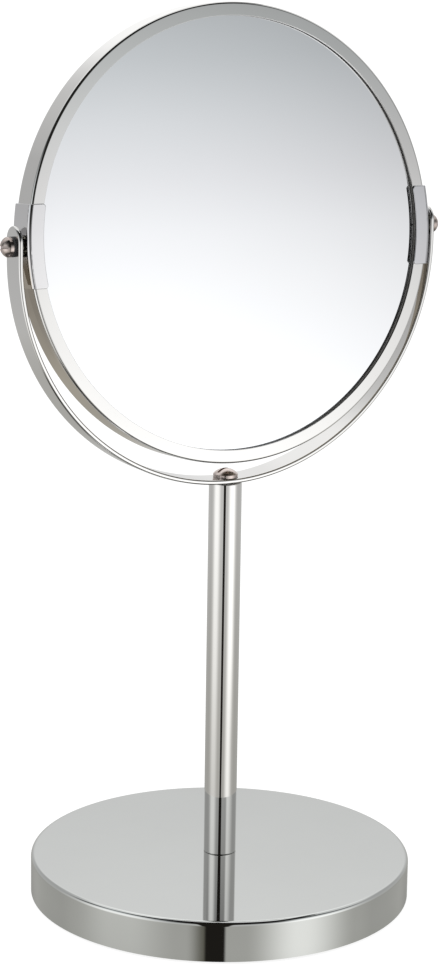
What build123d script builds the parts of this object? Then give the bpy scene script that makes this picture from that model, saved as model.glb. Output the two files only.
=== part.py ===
from build123d import *
from math import degrees, sqrt
import os

# Two-sided vanity mirror that tilts in a yoke on a round base. Sizes are in millimetres and degrees.
# The origin is the middle of the base on the floor, +Z is up and the plain glass faces -Y.

# Base
base_diameter = 149.0
skirt_height = 15.5
cover_thickness = 0.8
cover_bend = 0.9
weight_thickness = 5.0
insert_thickness = 1.5
insert_wall = 2.0
pad_thickness = 1.5
pad_proud = 0.8
pad_inset = 2.0

# Stem
stem_diameter = 12.7
stem_wall = 1.0
stem_length = 149.5
stem_edge_radius = 0.4
plug_length = 16.0

# Bolt under the base
bolt_diameter = 6.0
bolt_flats = 10.0
bolt_head_height = 4.0
bolt_grip = 12.0
bolt_washer_diameter = 18.0
bolt_washer_thickness = 1.5

# Yoke strip
yoke_thickness = 1.8
yoke_width = 11.0
yoke_edge_share = 0.4
yoke_end_margin = 7.5
pivot_rise = 5.05

# Screw that holds the yoke on the stem
yoke_screw_diameter = 5.0
yoke_screw_head = 9.5
yoke_screw_height = 3.3
yoke_screw_grip = 10.0
yoke_slot_turn = 12.0

# Hoop and glasses
mirror_tilt = 4.3
hoop_radius = 85.85
hoop_width = 11.5
hoop_sheet = 0.8
hoop_bend = 0.2
hoop_lip = 5.1
lip_edge_share = 0.45
hoop_joint_gap = 0.6
glass_thickness = 1.8
glass_side_gap = 0.7
magnifier_curvature = 1000.0
spacer_width = 8.0
spacer_inset = 1.0

# Pivot clips, bushes, washers and screws
clip_length = 30.4
clip_thickness = 0.8
clip_bend = 0.6
clip_overhang = 0.4
clip_corner = 1.2
clip_edge_radius = 0.3
bush_flange_height = 0.8
bush_wall = 0.8
bush_collar_step = 0.7
bush_flange_step = 1.3
bush_end_gap = 0.2
inner_washer_thickness = 0.4
outer_washer_thickness = 1.0
pivot_screw_diameter = 4.0
pivot_screw_head = 7.4
pivot_screw_height = 3.6
pivot_slot_turn = 90.0

# Screw heads: upright part of the rim and slot, as shares of the head's height and width
rim_share = 0.35
slot_depth_share = 0.4
slot_width_share = 0.13

# Clearances
fit_gap = 0.05
running_gap = 0.05
pin_gap = 0.08
hole_gap = 0.2
notch_gap = 0.4

# Heights from the floor up
base_radius = base_diameter / 2
cover_edge_radius = cover_bend + cover_thickness
cover_top = pad_proud + skirt_height
cover_under = cover_top - cover_thickness
weight_under = cover_under - weight_thickness
insert_top = pad_thickness + insert_thickness
stem_top = cover_top + stem_length

# Radii of the stem and its threads
stem_radius = stem_diameter / 2
plug_radius = stem_radius - stem_wall - fit_gap
bolt_radius = bolt_diameter / 2
yoke_screw_radius = yoke_screw_diameter / 2

# Depths of the hoop and the glasses, from the middle of the hoop
lip_radius = hoop_radius - hoop_lip
lip_inside = hoop_width / 2 - hoop_sheet
glass_radius = hoop_radius - hoop_sheet - glass_side_gap

# Radii of the pivot pieces
pivot_radius = pivot_screw_diameter / 2
bush_neck_radius = pivot_radius + bush_wall
bush_collar_radius = bush_neck_radius + bush_collar_step
bush_flange_radius = bush_neck_radius + bush_flange_step

# Distances of the pivot pieces from the middle, outwards along the pivot
bush_end = glass_radius + bush_end_gap
clip_inside = hoop_radius + fit_gap
clip_outside = clip_inside + clip_thickness
bush_face = clip_outside + bush_flange_height
yoke_radius = bush_face + inner_washer_thickness + running_gap
yoke_outside = yoke_radius + yoke_thickness
pivot_head_seat = yoke_outside + running_gap + outer_washer_thickness

# Heights of the yoke's bend and of the pivot
bend_height = stem_top + yoke_outside
pivot_height = bend_height + pivot_rise


def disc(radius, bottom, top):
    """Upright cylinder between two heights."""
    upright = (Align.CENTER, Align.CENTER, Align.MIN)
    return Pos(0, 0, bottom) * Cylinder(radius, top - bottom, align=upright)


def ring(radius, bore, bottom, top):
    """Upright tube between two heights."""
    return disc(radius, bottom, top) - disc(bore, bottom, top)


def along_pivot(piece):
    """Turn an upright piece so that its top points outwards along the pivot, to the right."""
    return Rot(0, 90, 0) * piece


def along_mirror(piece):
    """Turn an upright piece so that its top points to the rear of the hoop."""
    return Rot(-90, 0, 0) * piece


def sag(curvature, radius):
    """Depth of a sphere's cap at a radius."""
    return curvature - sqrt(curvature**2 - radius**2)


def channel_face(outer, inner, width, sheet, bend):
    """Section of a bent U channel that opens towards the middle of the hoop."""
    at_inner_edge = (Align.MIN, Align.CENTER)
    skin = Pos(inner, 0) * Rectangle(outer - inner, width, align=at_inner_edge)
    skin = fillet(skin.vertices().group_by(Axis.X)[-1], bend + sheet)
    space = Pos(inner, 0) * Rectangle(outer - sheet - inner, width - 2 * sheet, align=at_inner_edge)
    space = fillet(space.vertices().group_by(Axis.X)[-1], bend)
    return skin - space


def slotted_screw(shank, reach, head_diameter, head_height, slot_turn):
    """Domed slotted screw, upright, with the underside of its head at height 0."""
    radius = head_diameter / 2
    dome_height = head_height * (1 - rim_share)
    dome_radius = (radius**2 + dome_height**2) / (2 * dome_height)
    dome = Pos(0, 0, head_height - dome_radius) * Sphere(dome_radius)
    screw = (disc(radius, 0, head_height) & dome) + disc(shank, -reach, 0)
    slot = Box(2 * head_diameter, slot_width_share * head_diameter, 2 * slot_depth_share * head_height)
    return screw - Pos(0, 0, head_height) * Rot(0, 0, slot_turn) * slot


def make_base():
    """Pressed cover with its weight, closing insert and pad."""
    blank = disc(base_radius, pad_proud, cover_top)
    blank = fillet(blank.edges().sort_by(Axis.Z)[-1], cover_edge_radius)
    cover = offset(blank, -cover_thickness, openings=blank.faces().sort_by(Axis.Z)[0])
    bolt_hole = bolt_radius + hole_gap
    inside = base_radius - cover_thickness - fit_gap
    insert = disc(inside, pad_thickness, weight_under)
    insert -= disc(inside - insert_wall, insert_top, weight_under)
    insert -= disc(bolt_washer_diameter / 2 + insert_wall, pad_thickness, insert_top)
    return {
        "base_cover": cover - disc(bolt_hole, cover_under, cover_top),
        "base_weight": ring(base_radius - cover_edge_radius - cover_thickness, bolt_hole, weight_under, cover_under),
        "base_insert": insert,
        "base_pad": disc(inside - pad_inset, 0, pad_thickness),
    }


def make_base_bolt():
    """Hexagon bolt and washer that pull the stem down on the cover."""
    washer_under = weight_under - bolt_washer_thickness
    head = extrude(RegularPolygon(bolt_flats / 2, 6, major_radius=False), bolt_head_height)
    bolt = Pos(0, 0, washer_under - bolt_head_height) * head
    return {
        "base_bolt": bolt + disc(bolt_radius, washer_under, cover_top + bolt_grip),
        "base_washer": ring(bolt_washer_diameter / 2, bolt_radius + hole_gap, washer_under, weight_under),
    }


def make_stem():
    """Tube with a threaded plug in each end."""
    tube = ring(stem_radius, stem_radius - stem_wall, cover_top, stem_top)
    ends = tube.edges().group_by(Axis.Z)
    rims = [ends[end].sort_by(SortBy.RADIUS)[-1] for end in (0, -1)]
    tube = fillet(rims, stem_edge_radius)
    lower = ring(plug_radius, bolt_radius + fit_gap, cover_top, cover_top + plug_length)
    upper = ring(plug_radius, yoke_screw_radius + fit_gap, stem_top - plug_length, stem_top)
    return {"stem_tube": tube, "stem_lower_plug": lower, "stem_upper_plug": upper}


def make_yoke_leg():
    """Straight end of the strip on the right, from the bend up to its round tip."""
    straight = pivot_rise + yoke_end_margin - yoke_width / 2
    outline = Rectangle(yoke_width, straight, align=(Align.CENTER, Align.MIN))
    outline += Pos(0, straight) * Circle(yoke_width / 2)
    leg = extrude(Plane.YZ.offset(yoke_radius) * outline, yoke_thickness)
    foot = leg.faces().sort_by(Axis.Z)[0]
    rims = leg.faces().filter_by(Axis.X).edges() - foot.edges()
    return fillet(rims, yoke_edge_share * yoke_thickness)


def make_yoke():
    """Strip bent to a half circle with straight ends, and the screw that holds it."""
    section = RectangleRounded(yoke_thickness, yoke_width, yoke_edge_share * yoke_thickness)
    bend = revolve(Pos(yoke_radius + yoke_thickness / 2, 0) * section, Axis.Y, 180)
    leg = make_yoke_leg()
    strip = bend + leg + mirror(leg, about=Plane.YZ)
    strip -= Pos(0, 0, pivot_rise) * along_pivot(Cylinder(pivot_radius + pin_gap, 3 * yoke_outside))
    strip -= disc(yoke_screw_radius + hole_gap, -2 * yoke_outside, 0)
    seat = sag(yoke_radius, yoke_screw_head / 2) + fit_gap
    reach = seat + yoke_thickness + yoke_screw_grip
    screw = slotted_screw(yoke_screw_radius, reach, yoke_screw_head, yoke_screw_height, yoke_slot_turn)
    return {
        "yoke": Pos(0, 0, bend_height) * strip,
        "yoke_screw": Pos(0, 0, stem_top + yoke_thickness + seat) * screw,
    }


def make_hoop():
    """Two half hoops of channel, parted and notched where the pivots pass."""
    section = channel_face(hoop_radius, lip_radius, hoop_width, hoop_sheet, hoop_bend)
    section = fillet(section.vertices().group_by(Axis.X)[0], lip_edge_share * hoop_sheet)
    hoop = revolve(section, Axis.Y)
    hoop -= along_pivot(Cylinder(bush_collar_radius + notch_gap, 3 * hoop_radius))
    half_gap = hoop_joint_gap / 2
    return {
        "hoop_upper": split(hoop, Plane.XY.offset(half_gap), keep=Keep.TOP),
        "hoop_lower": split(hoop, Plane.XY.offset(-half_gap), keep=Keep.BOTTOM),
    }


def cap_arc(curvature, depth, start, end):
    """Arc of a spherical face between two radii, with its middle at a depth."""
    middle = (start + end) / 2
    return ThreePointArc(*((r, depth + sag(curvature, r)) for r in (start, middle, end)))


def make_glasses():
    """Plain glass in front, hollow magnifying glass behind, and the spacer between them."""
    rear_middle = lip_inside - sag(magnifier_curvature, glass_radius)
    inner_curvature = magnifier_curvature + glass_thickness
    inner_middle = rear_middle - glass_thickness
    rear = cap_arc(magnifier_curvature, rear_middle, 0, glass_radius)
    inner = cap_arc(inner_curvature, inner_middle, 0, glass_radius)
    hollow = make_face(rear + Line(rear @ 1, inner @ 1) + inner + Line(inner @ 0, rear @ 0))
    outside = glass_radius - spacer_inset
    inside = outside - spacer_width
    front = glass_thickness - lip_inside
    back = cap_arc(inner_curvature, inner_middle - fit_gap, inside, outside)
    card = make_face(back + Polyline(back @ 1, (outside, front), (inside, front), back @ 0))
    return {
        "plain_mirror": along_mirror(disc(glass_radius, -lip_inside, front)),
        "magnifying_mirror": revolve(hollow, Axis.Y),
        "mirror_spacer": revolve(card, Axis.Y),
    }


def make_clip():
    """Folded clip over the joint of the hoop on the right, with level ends and rounded rims."""
    width = hoop_width + 2 * (fit_gap + clip_thickness)
    section = channel_face(clip_outside, lip_radius - clip_overhang, width, clip_thickness, clip_bend)
    turn = 2 * degrees(clip_length / clip_outside)
    clip = Rot(0, -turn / 2, 0) * revolve(section, Axis.Y, turn)
    clip &= Box(3 * clip_outside, 2 * width, clip_length)
    corners = clip.edges().filter_by(Axis.Y).filter_by(lambda e: e.length < 2 * clip_thickness)
    clip = fillet(corners, clip_corner)
    flanges = clip.faces().filter_by(Axis.Y).sort_by(Axis.Y)
    rims = [edge for side in (0, -1) for edge in flanges[side].edges().sort_by(SortBy.LENGTH)[:-1]]
    clip = fillet(rims, clip_edge_radius)
    return clip - along_pivot(disc(bush_neck_radius + fit_gap, bush_end, clip_outside))


def make_pivot():
    """Clip, riveted bush, washers and screw of the right pivot."""
    bore = pivot_radius + fit_gap
    bush = ring(bush_flange_radius, bore, clip_outside, bush_face)
    collar_top = clip_inside - sag(clip_inside, bush_collar_radius)
    bush += ring(bush_neck_radius, bore, collar_top, clip_outside)
    bush += ring(bush_collar_radius, bore, bush_end, collar_top)
    reach = pivot_head_seat - bush_end
    screw = slotted_screw(pivot_radius, reach, pivot_screw_head, pivot_screw_height, pivot_slot_turn)
    washer_hole = pivot_radius + pin_gap
    inner_washer = ring(bush_flange_radius, washer_hole, bush_face, bush_face + inner_washer_thickness)
    outer_washer = ring(pivot_screw_head / 2, washer_hole, yoke_outside + running_gap, pivot_head_seat)
    return {
        "pivot_clip": make_clip(),
        "pivot_bush": along_pivot(bush),
        "inner_washer": along_pivot(inner_washer),
        "outer_washer": along_pivot(outer_washer),
        "pivot_screw": along_pivot(Pos(0, 0, pivot_head_seat) * screw),
    }


def make_head():
    """All that tilts: hoop, glasses and both pivots, set at the tilt of the hoop."""
    pieces = make_hoop() | make_glasses()
    for name, piece in make_pivot().items():
        pieces[name + "_right"] = piece
        pieces[name + "_left"] = mirror(piece, about=Plane.YZ)
    place = Pos(0, 0, pivot_height) * Rot(-mirror_tilt, 0, 0)
    return {name: place * piece for name, piece in pieces.items()}


os.makedirs("parts", exist_ok=True)
nodes = make_base() | make_base_bolt() | make_stem() | make_yoke() | make_head()
for name, piece in nodes.items():
    export_step(piece, f"parts/{name}.step")
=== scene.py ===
"""Round two-sided vanity mirror on a stand: chromed skins, silvered faces, finishes, studio and camera."""

from __future__ import annotations

import logging
import math
from dataclasses import dataclass
from enum import Enum
from typing import ClassVar

import bmesh
import bpy
from mathutils import Matrix, Vector

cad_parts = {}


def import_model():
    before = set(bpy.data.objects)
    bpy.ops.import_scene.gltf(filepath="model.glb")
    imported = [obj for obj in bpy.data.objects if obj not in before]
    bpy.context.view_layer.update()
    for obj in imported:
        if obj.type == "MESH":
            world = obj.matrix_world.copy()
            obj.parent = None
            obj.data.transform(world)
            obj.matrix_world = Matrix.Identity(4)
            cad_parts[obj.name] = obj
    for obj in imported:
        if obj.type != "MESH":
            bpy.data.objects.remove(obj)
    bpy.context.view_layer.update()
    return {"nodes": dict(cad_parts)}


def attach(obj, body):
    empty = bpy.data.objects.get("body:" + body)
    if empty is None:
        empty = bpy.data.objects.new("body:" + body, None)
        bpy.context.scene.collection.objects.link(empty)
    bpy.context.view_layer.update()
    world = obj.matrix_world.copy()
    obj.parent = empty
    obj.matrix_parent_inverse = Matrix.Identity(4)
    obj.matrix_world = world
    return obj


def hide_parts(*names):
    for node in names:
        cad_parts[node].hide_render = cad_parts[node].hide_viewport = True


LOG = logging.getLogger("vanity_mirror")
MM = 0.001
SHARP_FOLD = math.radians(35.0)
QUARTER_TURN = math.pi / 2.0
HALF_CIRCLE = 180.0
FULL_CIRCLE = 360.0
HOLE_STEPS = 64
RING_WANDER = 1.5
WHITE = (1.0, 1.0, 1.0, 1.0)
Net = bmesh.types.BMesh
Socket = bpy.types.NodeSocket
Colour = tuple[float, float, float]
Place = tuple[float, float, float]
Station = tuple[float, float, float]
Point = tuple[float, float]
Stops = tuple[Point, ...]


class Body(Enum):
    """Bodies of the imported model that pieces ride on."""

    STAND = "stand"
    HEAD = "mirror_head"


class Side(Enum):
    """Ends of the pivot."""

    LEFT = "left"
    RIGHT = "right"


class Half(Enum):
    """Halves of the hoop."""

    UPPER = "upper"
    LOWER = "lower"


class Slot(Enum):
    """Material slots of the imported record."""

    CHROME = "chrome"
    NICKEL = "screw_nickel"
    GLASS = "silvered_glass"


def arc(centre: Point, radius: float, start: float, end: float, steps: int = 10) -> list[Point]:
    """Points along an arc.

    Args:
        centre: middle of the arc.
        radius: its radius.
        start: angle of the first point in degrees.
        end: angle of the last point in degrees.
        steps: number of runs between the points.

    Returns:
        The points.
    """
    turns = [math.radians(start + (end - start) * step / steps) for step in range(steps + 1)]
    return [(centre[0] + radius * math.cos(t), centre[1] + radius * math.sin(t)) for t in turns]


def add_rod(net: Net, radius: float, length: float, place: Matrix, steps: int = HOLE_STEPS) -> None:
    """Add a closed rod to a mesh, with its axis along Z before it is placed.

    Args:
        net: the mesh.
        radius: radius of the rod.
        length: its length.
        place: where its middle goes.
        steps: number of its sides.
    """
    bmesh.ops.create_cone(
        net, cap_ends=True, segments=steps, radius1=radius, radius2=radius, depth=length, matrix=place
    )


def new_object(name: str, net: Net, *materials: bpy.types.Material) -> bpy.types.Object:
    """Put a mesh into the scene.

    Args:
        name: name of the object.
        net: its mesh, which is used up.
        materials: its materials, in the order of their indices.

    Returns:
        The new object.
    """
    mesh = bpy.data.meshes.new(name)
    net.to_mesh(mesh)
    net.free()
    for material in materials:
        mesh.materials.append(material)
    thing = bpy.data.objects.new(name, mesh)
    bpy.context.scene.collection.objects.link(thing)
    return thing


class ShaderBoard:
    """Nodes of one material or world, added and joined in code."""

    def __init__(self, tree: bpy.types.NodeTree) -> None:
        """Start from the tree of a material or a world, with its nodes cleared away."""
        self.tree = tree
        tree.nodes.clear()

    def add(self, kind: str, **settings: object) -> bpy.types.Node:
        """Add a node.

        Args:
            kind: Blender's name for the node's type.
            settings: properties of the node by name.

        Returns:
            The new node.
        """
        node = self.tree.nodes.new(kind)
        for name, value in settings.items():
            setattr(node, name, value)
        return node

    def feed(self, socket: Socket, value: object) -> None:
        """Set a socket, or join another socket to it.

        Args:
            socket: input of a node.
            value: a number, a colour or an output socket.
        """
        if isinstance(value, Socket):
            self.tree.links.new(value, socket)
        else:
            socket.default_value = value

    def show(self, surface: Socket, output: str = "ShaderNodeOutputMaterial") -> None:
        """Join a shader to the output of the tree."""
        self.feed(self.add(output).inputs["Surface"], surface)

    def place(self, centre: Vector | None = None) -> Socket:
        """Coordinates of a piece in metres.

        Args:
            centre: point that the coordinates are measured from, or None for the origin.

        Returns:
            Vector socket.
        """
        spot = self.add("ShaderNodeTexCoord").outputs["Object"]
        if centre is None:
            return spot
        shift = self.add("ShaderNodeMapping")
        self.feed(shift.inputs["Vector"], spot)
        shift.inputs["Location"].default_value = -centre
        return shift.outputs["Vector"]

    def noise(self, spot: Socket, scale: float, detail: float = 3.0) -> Socket:
        """Cloudy pattern.

        Args:
            spot: coordinates.
            scale: clouds in a metre.
            detail: how many finer layers it has.

        Returns:
            Value socket from 0 to 1.
        """
        node = self.add("ShaderNodeTexNoise")
        self.feed(node.inputs["Vector"], spot)
        node.inputs["Scale"].default_value = scale
        node.inputs["Detail"].default_value = detail
        return node.outputs["Fac"]

    def cells(self, spot: Socket, scale: float) -> Socket:
        """Distance to the nearest cell's middle.

        Args:
            spot: coordinates.
            scale: cells in a metre.

        Returns:
            Value socket.
        """
        node = self.add("ShaderNodeTexVoronoi")
        self.feed(node.inputs["Vector"], spot)
        node.inputs["Scale"].default_value = scale
        return node.outputs["Distance"]

    def rings(self, spot: Socket, scale: float, axis: str) -> Socket:
        """Rings round an axis, as a tool leaves on a turned face.

        Args:
            spot: coordinates measured from the axis.
            scale: rings in a metre.
            axis: X, Y or Z.

        Returns:
            Value socket from 0 to 1.
        """
        node = self.add("ShaderNodeTexWave", wave_type="RINGS", rings_direction=axis)
        self.feed(node.inputs["Vector"], spot)
        node.inputs["Scale"].default_value = scale
        node.inputs["Distortion"].default_value = RING_WANDER
        return node.outputs["Fac"]

    def spread(
        self, value: object, low: object, high: object, first: float = 0.0, last: float = 1.0
    ) -> Socket:
        """Smooth step from one value to another.

        Args:
            value: what is measured.
            low: where the step starts.
            high: where the step ends.
            first: result at low and below.
            last: result at high and above.

        Returns:
            Value socket.
        """
        node = self.add("ShaderNodeMapRange", interpolation_type="SMOOTHSTEP")
        names = ("Value", "From Min", "From Max", "To Min", "To Max")
        for name, number in zip(names, (value, low, high, first, last)):
            self.feed(node.inputs[name], number)
        return node.outputs["Result"]

    def sum(self, kind: str, first: object, second: object = 0.0, third: object = 0.0) -> Socket:
        """Do one step of arithmetic.

        Args:
            kind: Blender's name for the operation.
            first: number or socket.
            second: number or socket.
            third: number or socket.

        Returns:
            Value socket.
        """
        node = self.add("ShaderNodeMath", operation=kind)
        for socket, value in zip(node.inputs, (first, second, third)):
            self.feed(socket, value)
        return node.outputs["Value"]

    def diagonal(self, first: Socket, second: Socket) -> Socket:
        """Distance from the origin to a point that lies this far along two square lines."""
        square = self.sum("MULTIPLY", second, second)
        return self.sum("SQRT", self.sum("MULTIPLY_ADD", first, first, square))

    def tint(self, share: Socket, *colours: tuple[float, Colour]) -> Socket:
        """Colour along a row of colours.

        Args:
            share: place along the row from 0 to 1.
            colours: place and colour of each, in order.

        Returns:
            Colour socket.
        """
        node = self.add("ShaderNodeValToRGB")
        self.feed(node.inputs["Fac"], share)
        marks = node.color_ramp.elements
        while len(marks) < len(colours):
            marks.new(1.0)
        for mark, (at, colour) in zip(marks, colours):
            mark.position = at
            mark.color = (*colour, 1.0)
        return node.outputs["Color"]

    def blend(self, kind: str, share: object, first: object, second: object) -> Socket:
        """Blend two colours.

        Args:
            kind: Blender's name for the way of blending.
            share: number or socket.
            first: colour or socket.
            second: colour or socket.

        Returns:
            Colour socket.
        """
        mix = self.add("ShaderNodeMixRGB", blend_type=kind)
        for socket, value in zip(mix.inputs, (share, first, second)):
            self.feed(socket, value)
        return mix.outputs["Color"]

    def bump(self, height: Socket, depth: float) -> Socket:
        """Normal of a surface with relief.

        Args:
            height: relief from 0 to 1.
            depth: depth of the relief in metres.

        Returns:
            Vector socket.
        """
        node = self.add("ShaderNodeBump")
        self.feed(node.inputs["Height"], height)
        node.inputs["Distance"].default_value = depth
        return node.outputs["Normal"]


def new_material(name: str) -> tuple[bpy.types.Material, ShaderBoard]:
    """Start a material made of nodes.

    Args:
        name: name of the material.

    Returns:
        The material and the board of its nodes.
    """
    material = bpy.data.materials.new(name)
    material.use_nodes = True
    return material, ShaderBoard(material.node_tree)


@dataclass(frozen=True)
class Finish:
    """A surface of one piece or more, as a material made of nodes."""

    made: ClassVar[dict[str, bpy.types.Material]] = {}
    name: str

    def make(self) -> bpy.types.Material:
        """Make the material, or return it if it is there already.

        Returns:
            The material.
        """
        if self.name not in self.made:
            self.made[self.name], board = new_material(self.name)
            shader = board.add("ShaderNodeBsdfPrincipled")
            board.show(shader.outputs["BSDF"])
            self.paint(board, shader)
        return self.made[self.name]

    def paint(self, board: ShaderBoard, shader: bpy.types.Node) -> None:
        """Set the sockets of the Principled shader."""
        raise NotImplementedError


@dataclass(frozen=True)
class PolishedChrome(Finish):
    """Bright plating with faint smears, dust and a slow waviness under the polish."""

    wave_scale: float = 45.0
    wave_depth: float = 4e-6
    dull: Colour = (0.650, 0.645, 0.634)
    bright: Colour = (0.694, 0.689, 0.677)
    smear_scale: float = 30.0
    dust_scale: float = 1400.0
    smooth: float = 0.020
    smeared: float = 0.048
    dusty: float = 0.05
    smear_range: Point = (0.35, 0.75)
    dust_range: Point = (0.62, 0.8)

    def paint(self, board: ShaderBoard, shader: bpy.types.Node) -> None:
        """Set the shader's sockets.

        Args:
            board: node tree of the material.
            shader: the Principled shader.
        """
        spot = board.place()
        smear = board.noise(spot, self.smear_scale, detail=4.0)
        specks = board.noise(spot, self.dust_scale, detail=2.0)
        dust = board.spread(specks, *self.dust_range, last=self.dusty)
        rough = board.spread(smear, *self.smear_range, self.smooth, self.smeared)
        wave = board.noise(spot, self.wave_scale, detail=1.0)
        board.feed(shader.inputs["Base Color"], self.colour(board, spot, smear))
        shader.inputs["Metallic"].default_value = 1.0
        board.feed(shader.inputs["Roughness"], board.sum("ADD", rough, dust))
        board.feed(shader.inputs["Normal"], board.bump(wave, self.wave_depth))

    def colour(self, board: ShaderBoard, spot: Socket, smear: Socket) -> Socket:
        """Colour of the plating, duller in the smears."""
        return board.tint(smear, (0.0, self.bright), (1.0, self.dull))


@dataclass(frozen=True)
class HeightPaintedShadeChrome(PolishedChrome):
    """Plating with painted shade: a warmer, darker copy of the chrome, browner towards the upper ends of
    its piece.
    """

    painted_shade: Colour = (0.335, 0.295, 0.240)
    unshaded_height: float = 219.0 * MM
    shaded_height: float = 258.0 * MM
    shade_wander: float = 30.0 * MM

    def colour(self, board: ShaderBoard, spot: Socket, smear: Socket) -> Socket:
        """Colour of the plating, with painted shade that grows browner with height along a blotchy edge.

        Args:
            board: node tree of the material.
            spot: coordinates of the piece.
            smear: pattern of the smears from 0 to 1.

        Returns:
            Colour socket.
        """
        parts = board.add("ShaderNodeSeparateXYZ")
        board.feed(parts.inputs["Vector"], spot)
        # Painted shade: browner with height, along an edge that wanders with the smears.
        height = board.sum("MULTIPLY_ADD", smear, self.shade_wander, parts.outputs["Z"])
        shade_share = board.spread(height, self.unshaded_height, self.shaded_height)
        pale = super().colour(board, spot, smear)
        return board.blend("MIX", shade_share, pale, (*self.painted_shade, 1.0))


@dataclass(frozen=True)
class WallPaintedShadeChrome(PolishedChrome):
    """Plating with painted shade, brownish on the outer wall of its piece below the pivot."""

    painted_shade: Colour = (0.46, 0.41, 0.34)
    centre: Place = (0.0, 0.0, 0.0)
    unshaded_radius: float = 86.2 * MM
    shaded_radius: float = 86.6 * MM
    shade_drop: float = 9.0 * MM

    def colour(self, board: ShaderBoard, spot: Socket, smear: Socket) -> Socket:
        """Colour of the plating, with painted shade far from the middle of the pivot and below it.

        Args:
            board: node tree of the material.
            spot: coordinates of the piece.
            smear: pattern of the smears from 0 to 1.

        Returns:
            Colour socket.
        """
        parts = board.add("ShaderNodeSeparateXYZ")
        board.feed(parts.inputs["Vector"], board.place(Vector(self.centre)))
        across, up = parts.outputs["X"], parts.outputs["Z"]
        # Painted shade on the outer wall, below the pivot.
        wall = board.spread(board.diagonal(across, up), self.unshaded_radius, self.shaded_radius)
        below = board.spread(up, -self.shade_drop, 0.0, 1.0, 0.0)
        pale = super().colour(board, spot, smear)
        return board.blend("MIX", board.sum("MULTIPLY", wall, below), pale, (*self.painted_shade, 1.0))


@dataclass(frozen=True)
class TurnedMetal(Finish):
    """Plated metal with fine rings of the lathe round an axis."""

    dull: Colour
    bright: Colour
    axis: str
    centre: Place = (0.0, 0.0, 0.0)
    cloud_scale: float = 420.0
    ring_scale: float = 900.0
    ring_depth: float = 1.5e-6
    smooth: float = 0.08
    worn: float = 0.18
    cloud_range: Point = (0.3, 0.7)
    wear_range: Point = (0.3, 0.75)

    def paint(self, board: ShaderBoard, shader: bpy.types.Node) -> None:
        """Set the shader's sockets.

        Args:
            board: node tree of the material.
            shader: the Principled shader.
        """
        low, high = self.cloud_range
        spot = board.place(Vector(self.centre))
        cloud = board.noise(spot, self.cloud_scale, detail=4.0)
        rings = board.rings(spot, self.ring_scale, self.axis)
        rough = board.spread(cloud, *self.wear_range, self.smooth, self.worn)
        board.feed(shader.inputs["Base Color"], board.tint(cloud, (low, self.dull), (high, self.bright)))
        shader.inputs["Metallic"].default_value = 1.0
        board.feed(shader.inputs["Roughness"], rough)
        board.feed(shader.inputs["Normal"], board.bump(rings, self.ring_depth))


@dataclass(frozen=True)
class SilveredGlass(Finish):
    """Silver under clear glass: sharp, a little cool, with a breath of haze."""

    name: str = "mirror_silver"
    clear: Colour = (0.790, 0.798, 0.815)
    hazed: Colour = (0.780, 0.789, 0.806)
    haze_scale: float = 18.0
    smooth: float = 0.004
    hazy: float = 0.014
    haze_range: Point = (0.4, 0.8)

    def paint(self, board: ShaderBoard, shader: bpy.types.Node) -> None:
        """Set the shader's sockets.

        Args:
            board: node tree of the material.
            shader: the Principled shader.
        """
        haze = board.noise(board.place(), self.haze_scale)
        rough = board.spread(haze, *self.haze_range, self.smooth, self.hazy)
        board.feed(shader.inputs["Base Color"], board.tint(haze, (0.0, self.clear), (1.0, self.hazed)))
        shader.inputs["Metallic"].default_value = 1.0
        board.feed(shader.inputs["Roughness"], rough)


@dataclass(frozen=True)
class GrainedSolid(Finish):
    """Matt material with a cloudy colour and a fine grain."""

    dark: Colour
    light: Colour
    cloud_scale: float
    grain_scale: float
    grain_depth: float
    smooth: float
    rough: float
    cellular: bool = False
    cloud_range: Point = (0.25, 0.75)
    grain_range: Point = (0.2, 0.8)

    def paint(self, board: ShaderBoard, shader: bpy.types.Node) -> None:
        """Set the shader's sockets.

        Args:
            board: node tree of the material.
            shader: the Principled shader.
        """
        low, high = self.cloud_range
        spot = board.place()
        cloud = board.noise(spot, self.cloud_scale, detail=4.0)
        pattern = board.cells if self.cellular else board.noise
        grain = pattern(spot, self.grain_scale)
        rough = board.spread(grain, *self.grain_range, self.smooth, self.rough)
        board.feed(shader.inputs["Base Color"], board.tint(cloud, (low, self.dark), (high, self.light)))
        board.feed(shader.inputs["Roughness"], rough)
        board.feed(shader.inputs["Normal"], board.bump(grain, self.grain_depth))


PIVOT_POINT = (0.0, 0.0, 260.6 * MM)
CHROME = PolishedChrome("polished_chrome")
BASE_CHROME = PolishedChrome("base_chrome", dull=(0.548, 0.560, 0.550), bright=(0.576, 0.589, 0.578))
# Left clip: a slightly whiter, bluer copy of the chrome as painted reflection, with painted shade browning
# its outer wall below the pivot, where it faces the yoke.
PRESSED_CHROME = WallPaintedShadeChrome(
    "pressed_chrome",
    wave_scale=110.0,
    wave_depth=16e-6,
    dull=(0.655, 0.651, 0.659),
    bright=(0.702, 0.698, 0.706),
    centre=PIVOT_POINT,
)
# Right clip: a darker, bluer copy of the chrome, painted reflection of the bluish-grey tone its flange
# shows against the lip.
RIGHT_CLIP_PAINTED_REFLECTION_CHROME = PolishedChrome(
    "right_clip_painted_reflection_chrome",
    wave_scale=110.0,
    wave_depth=16e-6,
    dull=(0.550, 0.552, 0.570),
    bright=(0.595, 0.597, 0.616),
)
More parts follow.
